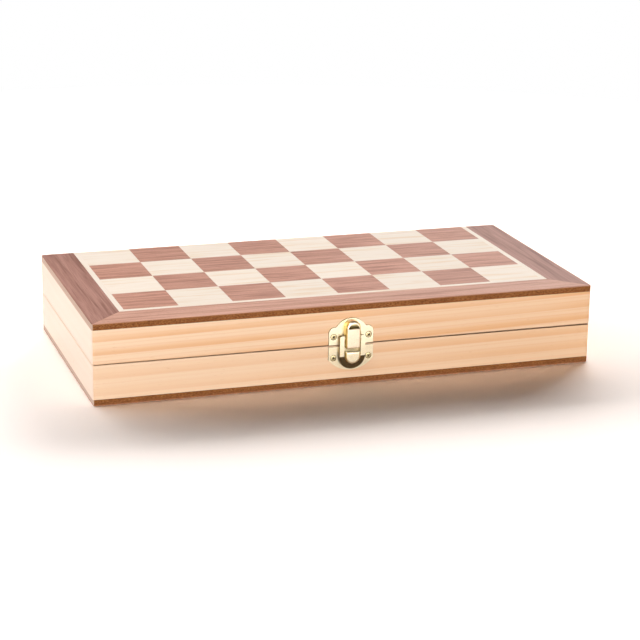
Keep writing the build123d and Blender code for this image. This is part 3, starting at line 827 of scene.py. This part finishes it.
# Front view as a function of the inset, stacked in rings of (out, inset) and closed at both ends
def ringShape(outline, rings):
    bm = bmesh.new()
    loops = [[bm.verts.new((x, out, up)) for x, up in outline(inset)] for out, inset in rings]
    for lower, upper in zip(loops, loops[1:]):
        for number in range(len(lower)):
            after = (number + 1) % len(lower)
            bm.faces.new((lower[number], lower[after], upper[after], upper[number]))
    bm.faces.new(loops[0])
    bm.faces.new(loops[-1])
    bmesh.ops.recalc_face_normals(bm, faces=bm.faces)
    return bm


def leverOutline(inset):
    half, corner = latch["half"] - inset, max(latch["corner"] - inset, 0.1)
    low = latch["low"] + inset
    return (arc((half - corner, low + corner), corner, -90, 0, 6) + arc((0, latch["archUp"]), half, 0, 180, 36)
            + arc((corner - half, low + corner), corner, 180, 270, 6))


def hookOutline(inset):
    half, corner = hook["half"] - inset, max(hook["corner"] - inset, 0.1)
    top = hook["top"] - inset
    return (arc((0, hook["up"]), half, 180, 360, 36) + arc((half - corner, top - corner), corner, 0, 90, 6)
            + arc((corner - half, top - corner), corner, 90, 180, 6))


# The narrow sides of a bent or raised piece; index is the place of their material, a painted reflection on the flanks
# of the lever and the hook, and painted shade on the loop's edges
def sidesAs(bm, index, edges=False):
    bm.normal_update()
    for face in bm.faces:
        if face.material_index == 0 and (abs(face.normal.y) < 0.5 if edges else abs(face.normal.x) > 0.5):
            face.material_index = index
    return bm


# Lever: a cap with an arched top and a foot bent round the pivot, open behind, with a scoop for the thumb
def leverShape():
    pivotOut, pivotUp = latch["pivot"]
    foot, knee = pivotUp - latch["low"], latch["low"] + latch["corner"]
    wide, tall = latch["past"]  # well past the lever's sides and its top
    side = (arc(latch["pivot"], foot, 180, 270, 10)
            + arc((latch["front"] - latch["corner"], knee), latch["corner"], 270, 360, 8)
            + [(latch["front"] + 0.2, knee), (latch["front"] + 0.2, tall), (pivotOut - foot, tall)])
    bm = carved(ringShape(leverOutline, latch["cap"]), profileShape(side, wide), "INTERSECT")
    x, up, across, high = latch["scoop"]
    mouth = [(x + across * a, up + high * b) for a, b in arc((0, 0), 1, 0, 180, 28)]
    scoop = ringShape(lambda inset: mouth, ((1, 0), (wide, 0)))
    # The scoop's and the hollow's faces take the darker inner brass, painted shade
    bm = carved(bm, carved(scoop, profileShape(latch["scoopFloor"], wide), "INTERSECT"), index=1)
    wall = latch["inside"]
    arch = leverOutline(wall)[7:44] + [(wall - latch["half"], -4), (latch["half"] - wall, -4)]
    inside = ringShape(lambda inset: arch, ((-1, 0), (wide, 0)))
    bm = carved(bm, carved(inside, profileShape(latch["hollow"], wide), "INTERSECT"), index=1)
    bm = carved(bm, bar((0, *latch["pivot"]), latch["pinRoom"], 16))
    (out, low), (outer, high) = latch["slot"]
    room = profileShape(((out, low), (outer, low), (outer, high), (out, high)), wide)
    rounded(room, [edge for edge in room.edges if lengthAlong(edge, 0) > 1], latch["slotRound"], 4)
    # The lever's flanks take the deeper yellow brass, a painted reflection
    return sidesAs(onFront(carved(bm, room)), 2)


# Cut edges and screw holes of a plate are darker than its face: painted shade
def shadedEdges(bm, screwUp):
    bm.normal_update()
    for face in bm.faces:
        low = all(vert.co.y > -back - latch["sheet"] - 0.01 for vert in face.verts)
        sunk = all(Vector((abs(vert.co.x) - latch["screwX"], vert.co.z - seam - screwUp)).length < latch["sink"]
                   for vert in face.verts)
        if low and (abs(face.normal.y) < 0.5 or sunk):
            face.material_index = 1
    return bm


def nodeShape(node):
    bm = bmesh.new()
    bm.from_mesh(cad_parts[node].data)
    bmesh.ops.scale(bm, vec=(1 / mm, 1 / mm, 1 / mm), verts=bm.verts)
    bmesh.ops.remove_doubles(bm, verts=bm.verts, dist=0.002)
    bmesh.ops.dissolve_limit(bm, angle_limit=radians(1), verts=bm.verts, edges=bm.edges)
    return bm


def catchShape():
    bm = nodeShape("catch_plate")
    cutAway(bm, (0, -back - latch["sheet"] - 0.004, 0), (0, -1, 0))
    for vert in bm.verts:
        if vert.co.z > seam - latch["catchTop"]:
            vert.co.z += latch["catchRaised"]
    shadedEdges(bm, latch["catchScrew"])
    # The hook's flanks take the deeper yellow brass, a painted reflection
    joined(bm, sidesAs(onFront(ringShape(hookOutline, hook["rings"])), 2))
    return bm


# Cut edges, screw holes and the loop's edges are painted shade; the lever's insides are painted shade and its flanks a
# painted reflection
for name, shape, materials, body, node, sharp, ease in (
        ("latchPlate", shadedEdges(nodeShape("latch_plate"), latch["plateScrew"]), [brass, shadedEdgeBrass], "lid",
         "latch_plate", 32, 0.12),
        ("catchPlate", catchShape(), [brass, shadedEdgeBrass, flankReflectionBrass], "base", "catch_plate", 32, 0.12),
        ("latchLever", leverShape(), [leverBrass, shadedInnerBrass, flankReflectionBrass], "latch_lever", "latch_lever", 26, 0.10),
        ("latchLoop", sidesAs(nodeShape("latch_loop"), 1, edges=True), [loopBrass, shadedEdgeBrass], "latch_loop",
         "latch_loop", 32, 0.22),
        ("latchLeverPin", nodeShape("latch_lever_pin"), [screwBrass], "lid", "latch_lever_pin", 32, 0.12)):
    makePiece(name, shape, materials, body, node, sharp, ease)
for side in ("left", "right"):
    for part, material, ease, body in (("base_leaf", brass, 0.10, "base"), ("lid_leaf", brass, 0.10, "lid"),
                                       ("pin", screwBrass, 0.12, "base")):
        node = f"{side}_hinge_{part}"
        name = side + "Hinge" + part.title().replace("_", "")
        makePiece(name, nodeShape(node), [material], body, node, bevel=ease)

# Screws: head radius, dome, head's depth, shank radius and length, the cross slot, and its foot as shares of that
latchScrew = {"head": 1.58, "dome": 0.10, "sink": 0.75, "shank": 1.0, "length": 6.4, "slot": (2.5, 0.72, 0.62),
              "slotFoot": (0.55, 0.7)}
hingeScrew = dict(latchScrew, head=1.6, dome=0.06, sink=0.8, shank=0.8, length=8.0, slot=(2.1, 0.48, 0.55))


# Turns an outline of (radius, height) points, whose ends are on the axis
def lathe(outline, steps=40):
    bm = bmesh.new()
    corners = [bm.verts.new((radius, 0, height)) for radius, height in outline]
    edges = [bm.edges.new(pair) for pair in zip(corners, corners[1:])]
    bmesh.ops.spin(bm, geom=corners + edges, cent=(0, 0, 0), axis=(0, 0, 1), angle=tau, steps=steps, use_merge=True)
    bmesh.ops.remove_doubles(bm, verts=bm.verts, dist=1e-4)
    bmesh.ops.recalc_face_normals(bm, faces=bm.faces)
    return bm


def screwShape(sizes):
    head, dome, sink, shank = (sizes[key] for key in ("head", "dome", "sink", "shank"))
    outline = [(0, dome), (0.35 * head, 0.93 * dome), (0.68 * head, 0.66 * dome), (0.90 * head, 0.26 * dome),
               (head - 0.05, 0.02), (head, -0.05), (head - 0.06, -0.12), (shank, -sink), (shank, -sink - 0.6),
               (0.86 * shank, -sink - 0.8), (0.86 * shank, -sink - sizes["length"] + 1.6), (0, -sink - sizes["length"])]
    longway, wide, deep = sizes["slot"]
    bars = []
    for turn in (0, 90):
        slot = block((-longway / 2, -wide / 2, dome - deep), (longway / 2, wide / 2, dome + 1))
        for vert in slot.verts:
            if vert.co.z < dome:
                vert.co.x *= sizes["slotFoot"][0]
                vert.co.y *= sizes["slotFoot"][1]
        bars.append(spun(slot, turn, "Z"))
    # The cross slots' faces take the near-black slot brass, painted shade in the recess
    return carved(lathe(outline, 36), carved(*bars, "UNION"), index=1)


def screwGroup(sizes, places, turns):
    group = bmesh.new()
    one = screwShape(sizes)
    for place, turn in zip(places, turns):
        joinedCopy(group, one, place @ Matrix.Rotation(radians(turn), 4, "Z"))
    one.free()
    return group


facing = Matrix(((1, 0, 0, 0), (0, 0, -1, -back - latch["sheet"]), (0, 1, 0, seam), (0, 0, 0, 1)))
for name, node, body, height, turns in (("latchScrews", "latch_screws", "lid", latch["plateScrew"], (28, -35)),
                                        ("catchScrews", "catch_screws", "base", latch["catchScrew"], (-20, 38))):
    places = [facing @ Matrix.Translation((side * latch["screwX"], height, 0)) for side in (-1, 1)]
    makePiece(name, screwGroup(latchScrew, places, turns), [screwBrass, slotShadeBrass], body, node, sharp=28)
leafPlaces = [Matrix.Translation((side * hinge["x"] + offset, hinge["screwY"], rim))
              for side in (-1, 1) for offset in (-hinge["screwX"], hinge["screwX"])]
halves("HingeScrews", "hinge_screws", lambda: screwGroup(hingeScrew, leafPlaces, (12, 57, -33, 80)),
       [screwBrass, slotShadeBrass], sharp=28)
print("brass made")

# Chess men: height, foot radius, lean and height of the axis as they lie; outlines are (radius, height) in shares
menSizes = {
    "king": {"height": 54.0, "foot": 8.4, "lean": 5.242, "z": 13.610},
    "queen": {"height": 49.0, "foot": 8.2, "lean": 5.010, "z": 13.411},
    "bishop": {"height": 42.0, "foot": 7.6, "lean": 7.522, "z": 12.874},
    "knight": {"height": 37.0, "foot": 7.6, "lean": 9.840, "z": 13.021},
    "rook": {"height": 31.0, "foot": 7.6, "lean": 5.291, "z": 12.754},
    "pawn": {"height": 28.0, "foot": 6.9, "lean": 8.065, "z": 12.125},
}
rows = {"backRow": ("rook", "knight", "bishop", "queen", "king", "bishop", "knight", "rook"), "pitch": 33.0,
        "foot": 49.0, "steps": 40}
footing = [(0, 0), (0.93, 0), (0.985, 0.006), (1.0, 0.022), (1.0, 0.058), (0.985, 0.072), (0.93, 0.080), (0.86, 0.084),
           (0.84, 0.092), (0.85, 0.100), (0.84, 0.112), (0.79, 0.124)]
menOutlines = {
    "king": footing + [(0.66, 0.150), (0.54, 0.185), (0.46, 0.225), (0.40, 0.29), (0.345, 0.38), (0.305, 0.48),
                       (0.285, 0.58), (0.285, 0.625), (0.34, 0.632), (0.36, 0.640), (0.34, 0.648), (0.37, 0.656),
                       (0.49, 0.664), (0.505, 0.671), (0.49, 0.678), (0.39, 0.684), (0.325, 0.692), (0.315, 0.71),
                       (0.35, 0.745), (0.42, 0.79), (0.50, 0.832), (0.535, 0.850), (0.53, 0.862), (0.47, 0.868),
                       (0.40, 0.874), (0.27, 0.886), (0.16, 0.893), (0.14, 0.90), (0, 0.902)],
    "queen": footing + [(0.66, 0.155), (0.54, 0.195), (0.46, 0.24), (0.39, 0.31), (0.335, 0.41), (0.30, 0.52),
                        (0.285, 0.62), (0.285, 0.655), (0.34, 0.662), (0.36, 0.669), (0.34, 0.676), (0.37, 0.684),
                        (0.49, 0.693), (0.505, 0.70), (0.49, 0.708), (0.39, 0.715), (0.325, 0.724), (0.32, 0.745),
                        (0.36, 0.79), (0.44, 0.85), (0.535, 0.90), (0.56, 0.918), (0.55, 0.930), (0.49, 0.925),
                        (0.42, 0.918), (0.34, 0.925), (0.24, 0.938), (0.13, 0.946), (0.10, 0.952), (0.135, 0.966),
                        (0.145, 0.978), (0.11, 0.993), (0, 1.0)],
    "bishop": footing + [(0.66, 0.16), (0.54, 0.205), (0.46, 0.25), (0.39, 0.32), (0.33, 0.42), (0.295, 0.52),
                         (0.285, 0.59), (0.33, 0.598), (0.36, 0.606), (0.34, 0.614), (0.38, 0.624), (0.485, 0.638),
                         (0.50, 0.648), (0.485, 0.658), (0.39, 0.668), (0.325, 0.678), (0.33, 0.70), (0.40, 0.75),
                         (0.45, 0.80), (0.455, 0.835), (0.42, 0.88), (0.34, 0.92), (0.22, 0.947), (0.12, 0.957),
                         (0.105, 0.963), (0.135, 0.975), (0.13, 0.988), (0.08, 0.998), (0, 1.0)],
    "knight": footing + [(0.76, 0.135), (0.72, 0.15), (0.725, 0.165), (0.70, 0.20), (0.65, 0.24), (0.62, 0.27),
                         (0.60, 0.285), (0, 0.29)],
    "rook": footing + [(0.68, 0.16), (0.58, 0.21), (0.52, 0.28), (0.48, 0.38), (0.455, 0.50), (0.44, 0.62),
                       (0.44, 0.68), (0.49, 0.69), (0.52, 0.70), (0.50, 0.715), (0.53, 0.74), (0.62, 0.775),
                       (0.655, 0.795), (0.66, 0.82), (0.66, 0.97), (0.64, 0.995), (0.60, 1.0), (0.47, 1.0),
                       (0.44, 0.99), (0.43, 0.90), (0, 0.89)],
    "pawn": footing + [(0.66, 0.165), (0.54, 0.22), (0.46, 0.28), (0.40, 0.35), (0.345, 0.44), (0.30, 0.54),
                       (0.285, 0.605), (0.285, 0.622), (0.36, 0.630), (0.45, 0.640), (0.465, 0.651), (0.45, 0.662),
                       (0.37, 0.672), (0.33, 0.684), (0.42, 0.715), (0.51, 0.755), (0.562, 0.80), (0.572, 0.84),
                       (0.55, 0.885), (0.49, 0.93), (0.38, 0.968), (0.22, 0.993), (0, 1.0)],
}


def sizesOf(kind):
    return menSizes[kind]["height"], menSizes[kind]["foot"]


def turnedMan(kind):
    height, foot = sizesOf(kind)
    return lathe([(radius * foot, share * height) for radius, share in menOutlines[kind]], rows["steps"])


# A cross with arms that widen outwards, on the turned crown
kingCross = {"half": 0.09, "post": (0.89, 1.0), "arm": (0.27, 0.925, 0.963), "waist": 0.72, "ease": 0.12}


def kingShape():
    height, foot = sizesOf("king")
    half, waist = kingCross["half"] * foot, kingCross["waist"]
    armOut, armLow, armHigh = kingCross["arm"]
    bm = turnedMan("king")
    for low, high, axis in (((-half, -half, kingCross["post"][0] * height), (half, half, height), 2),
                            ((-armOut * foot, -half, armLow * height), (armOut * foot, half, armHigh * height), 0)):
        arm = block(low, high)
        bmesh.ops.subdivide_edges(arm, edges=[edge for edge in arm.edges if lengthAlong(edge, axis) > tiny], cuts=1)
        centre = (Vector(low) + Vector(high)) / 2
        for vert in arm.verts:
            if abs(vert.co[axis] - centre[axis]) < tiny:
                vert.co.y *= waist
                other = 2 - axis
                vert.co[other] = centre[other] + (vert.co[other] - centre[other]) * waist
        rounded(arm, arm.edges[:], kingCross["ease"], 2)
        joined(bm, arm)
    return bm


queenCrown = {"notches": 8, "out": 0.58, "up": 0.945, "radius": 0.10, "length": 0.5}


def queenShape():
    height, foot = sizesOf("queen")
    bm = turnedMan("queen")
    for step in range(queenCrown["notches"]):
        notch = bar((queenCrown["out"] * foot, 0, queenCrown["up"] * height), queenCrown["radius"] * foot,
                    queenCrown["length"] * foot, 16)
        bm = carved(bm, spun(notch, step * 360 / queenCrown["notches"], "Z"))
    return bm


bishopSlit = {"deep": 0.14, "long": 0.6, "half": 0.035, "slope": 38, "out": -0.20, "up": 0.872}


def bishopShape():
    height, foot = sizesOf("bishop")
    long, half = bishopSlit["long"] * foot, bishopSlit["half"] * foot
    slit = spun(block((-long, -long, -half), (bishopSlit["deep"] * foot, long, half)), bishopSlit["slope"], "Y")
    return carved(turnedMan("bishop"), moved(slit, bishopSlit["out"] * foot, 0, bishopSlit["up"] * height))


rookWall = {"gaps": 3, "half": 0.10, "low": 0.925, "past": 1.1}


def rookShape():
    height, foot = sizesOf("rook")
    half = rookWall["half"] * foot
    bm = turnedMan("rook")
    for step in range(rookWall["gaps"]):
        gap = block((-foot, -half, rookWall["low"] * height), (foot, half, rookWall["past"] * height))
        bm = carved(bm, spun(gap, step * 180 / rookWall["gaps"], "Z"))
    return bm


# Knight's head in side view, in shares of the foot radius and the height. It narrows in width to the crown and to
# the muzzle. ears and mouth are the low and high corners of what is cut away; the mane's cuts run up the neck, and
# their turn, out and up are where they start, how much they change, and by what power.
knightHead = {
    "side": [(-0.50, 0.27), (-0.60, 0.36), (-0.69, 0.46), (-0.69, 0.57), (-0.60, 0.68), (-0.47, 0.77), (-0.30, 0.85),
             (-0.10, 0.905), (0.00, 0.925), (0.06, 0.985), (0.11, 0.985), (0.17, 0.93), (0.30, 0.895), (0.46, 0.845),
             (0.66, 0.775), (0.86, 0.715), (0.90, 0.675), (0.84, 0.63), (0.70, 0.625), (0.56, 0.645), (0.42, 0.635),
             (0.28, 0.595), (0.22, 0.555), (0.30, 0.50), (0.42, 0.44), (0.50, 0.36), (0.52, 0.27)],
    "cheek": 0.40, "crown": 0.22, "crownFrom": 0.58, "muzzle": 0.22, "muzzleFrom": 0.35, "muzzleLength": 0.55,
    "ease": 0.95, "voxel": 0.34, "smooth": 5,
    "eye": (0.27, 0.72, 0.80, 0.085), "nostril": (0.80, 0.58, 0.695, 0.065),
    "ears": ((-0.3, -0.07, 0.925), (0.5, 0.07, 1.1)), "mouth": ((0.60, -1, 0.655), (1.2, 1, 0.668)),
    "mouthTurn": (14, (0.7, 0, 0.66)), "maneCuts": 7, "maneNotch": ((-0.30, -0.35), (0.13, 0.35)),
    "maneTurn": (-18, 75), "maneOut": (-0.70, 0.52, 1.6), "maneUp": (0.42, 0.46, 0.85),
}


def ball(radius, *place):
    bm = bmesh.new()
    bmesh.ops.create_icosphere(bm, subdivisions=2, radius=radius)
    return moved(bm, *place)


def knightShape():
    height, foot = sizesOf("knight")
    values = knightHead
    cheek = values["cheek"] * foot

    def real(shares):
        return shares[0] * foot, shares[1] * foot, shares[2] * height

    bm = prism([real((x, -values["cheek"], z)) for x, z in values["side"]], (0, 2 * cheek, 0))
    for vert in bm.verts:
        crown = max(0.0, (vert.co.z / height - values["crownFrom"]) / (1 - values["crownFrom"]))
        muzzle = max(0.0, vert.co.x / foot - values["muzzleFrom"]) / values["muzzleLength"]
        vert.co.y *= 1 - (1 - values["crown"] / values["cheek"]) * crown - values["muzzle"] * muzzle
    rounded(bm, [edge for edge in bm.edges if lengthAlong(edge, 1) < 1.0], values["ease"], 3)
    x, y, z, size = values["nostril"]
    for way in (-1, 1):
        bm = carved(bm, ball(size * foot, x * foot, way * y * cheek, z * height))
    bm = carved(bm, block(*map(real, values["ears"])))
    turn, centre = values["mouthTurn"]
    bm = carved(bm, spun(block(*map(real, values["mouth"])), turn, "Y", real(centre)))
    (inward, low), (outward, high) = values["maneNotch"]
    for step in range(values["maneCuts"]):
        share = step / (values["maneCuts"] - 1)
        out, up = (start + more * share ** power for start, more, power in (values["maneOut"], values["maneUp"]))
        turn, more = values["maneTurn"]
        notch = spun(block((inward * foot, -foot, low), (outward * foot, foot, high)), turn + more * share, "Y")
        bm = carved(bm, moved(notch, *real((out, 0, up))))
    x, y, z, size = values["eye"]
    for way in (-1, 1):
        joined(bm, ball(size * foot, x * foot, way * y * cheek, z * height))
    head = worked(loosePart(bm), "REMESH", mode="VOXEL", voxel_size=values["voxel"])
    for step in range(values["smooth"]):
        bmesh.ops.smooth_vert(head, verts=head.verts, factor=0.5, use_axis_x=True, use_axis_y=True, use_axis_z=True)
    bm = turnedMan("knight")
    joined(bm, head)
    return bm


# A disc glued under the foot, its lower edge eased
disc = {"share": 0.9, "thick": 1.5}


def magnetShape(kind):
    reach, low = disc["share"] * menSizes[kind]["foot"], -disc["thick"]
    return lathe([(0, 0), (reach, 0), (reach, low + 0.15), (reach - 0.04, low + 0.04), (reach - 0.15, low), (0, low)])


def lyingPlace(kind, number, way):
    lean = radians(menSizes[kind]["lean"])
    across = Vector((1, 0, 0))
    axis = Vector((0, way * cos(lean), -sin(lean)))
    turn = Matrix((across, axis.cross(across), axis)).transposed().to_4x4()
    x = (number - (board["files"] - 1) / 2) * rows["pitch"]
    return Matrix.Translation((x, -way * rows["foot"], menSizes[kind]["z"])) @ turn


menShapes = {"king": kingShape, "queen": queenShape, "bishop": bishopShape, "knight": knightShape, "rook": rookShape,
             "pawn": lambda: turnedMan("pawn")}
magnets = {"white": bmesh.new(), "black": bmesh.new()}
for kind, make in menShapes.items():
    if kind == "pawn":
        places = [lyingPlace(kind, number, 1) for number in range(board["files"])]
    else:
        places = [lyingPlace(kind, number, -1) for number, other in enumerate(rows["backRow"]) if other == kind]
    one, magnet = make(), magnetShape(kind)
    plural = kind if len(places) == 1 else kind + "s"
    for colour, body, wood, slotName in (("white", "base", boxwood, "boxwood"),
                                         ("black", "lid", stainedWood, "stained_wood")):
        group = bmesh.new()
        for place in places:
            turn = Matrix.Rotation(radians(chance.uniform(-25, 25)), 4, "Z") if kind != "knight" else Matrix()
            joinedCopy(group, one, place @ turn, chance.random())
            joinedCopy(magnets[colour], magnet, place, chance.random())
        if colour == "black":
            turnedOver(group)
        makePiece(colour + plural.title(), group, [wood], body, f"{colour}_{plural}", sharp=38)
    one.free()
    magnet.free()
turnedOver(magnets["black"])
for colour, body in (("white", "base"), ("black", "lid")):
    makePiece(colour + "Magnets", magnets[colour], [magnetStone], body, colour + "_magnets")
print("chess men made")

# Foam insert: a firm sheet with a pocket cut to each man, its lips worn round. head is how wide the pocket is at the
# man's head, as a share of its foot; wideTo and endsFrom are shares of the man's height.
insert = {"gap": 0.4, "height": 17.0, "floor": 1.2, "side": 0.7, "end": 1.6, "magnet": 1.5, "corner": 1.6, "lip": 0.7,
          "edge": 0.8, "wideTo": 0.30, "endsFrom": 0.42,
          "head": {"king": 0.54, "queen": 0.56, "bishop": 0.50, "knight": 1.0, "rook": 0.66, "pawn": 0.57}}


# A prism with the outline of the pocket, flared at its mouth
def pocketShape(kind, number, way):
    height, foot = sizesOf(kind)
    x, y = (number - (board["files"] - 1) / 2) * rows["pitch"], -way * rows["foot"]
    wide = foot + insert["side"]
    head = insert["head"][kind] * foot + insert["side"]
    stations = [(wide, -insert["magnet"] - insert["end"]), (wide, insert["wideTo"] * height),
                (head, height + insert["end"])]
    corners = stations + [(-half, along) for half, along in reversed(stations)]
    low = railFoot + insert["floor"]
    bm = bmesh.new()
    face = bm.faces.new([bm.verts.new((x + half, y + way * along, low)) for half, along in corners])
    rounded(bm, face.verts[:], insert["corner"], 4, "VERTICES")
    top, lip, middle = railFoot + insert["height"], insert["lip"], y + way * height / 2
    bm.faces.ensure_lookup_table()
    face = bm.faces[0]
    for level, spread in ((top - lip, 0.0), (top - 0.3 * lip, 0.18 * lip), (top + tiny, 0.6 * lip),
                          (top + 1.0, 0.96 * lip)):
        under = face
        pushed = bmesh.ops.extrude_face_region(bm, geom=[under])
        face = [part for part in pushed["geom"] if isinstance(part, bmesh.types.BMFace)][0]
        if under.is_valid and level > top - lip:
            bm.faces.remove(under)
        for vert in face.verts:
            along = vert.co.y - middle
            vert.co.z = level
            vert.co.x += spread * (1 if vert.co.x > x else -1)
            if abs(along) > insert["endsFrom"] * height:
                vert.co.y += spread * (1 if along > 0 else -1)
    bmesh.ops.recalc_face_normals(bm, faces=bm.faces)
    return bm


def insertShape():
    halfX, halfY = innerX - insert["gap"], innerY - insert["gap"]
    bm = block((-halfX, -halfY, railFoot), (halfX, halfY, railFoot + insert["height"]))
    rounded(bm, bm.edges[:], insert["edge"], 3)
    pockets = bmesh.new()
    for number, kind in enumerate(rows["backRow"]):
        joined(pockets, pocketShape(kind, number, -1))
        joined(pockets, pocketShape("pawn", number, 1))
    return carved(bm, pockets)


halves("FoamInsert", "foam_insert", insertShape, [foam], sharp=40)
print("foam inserts made")
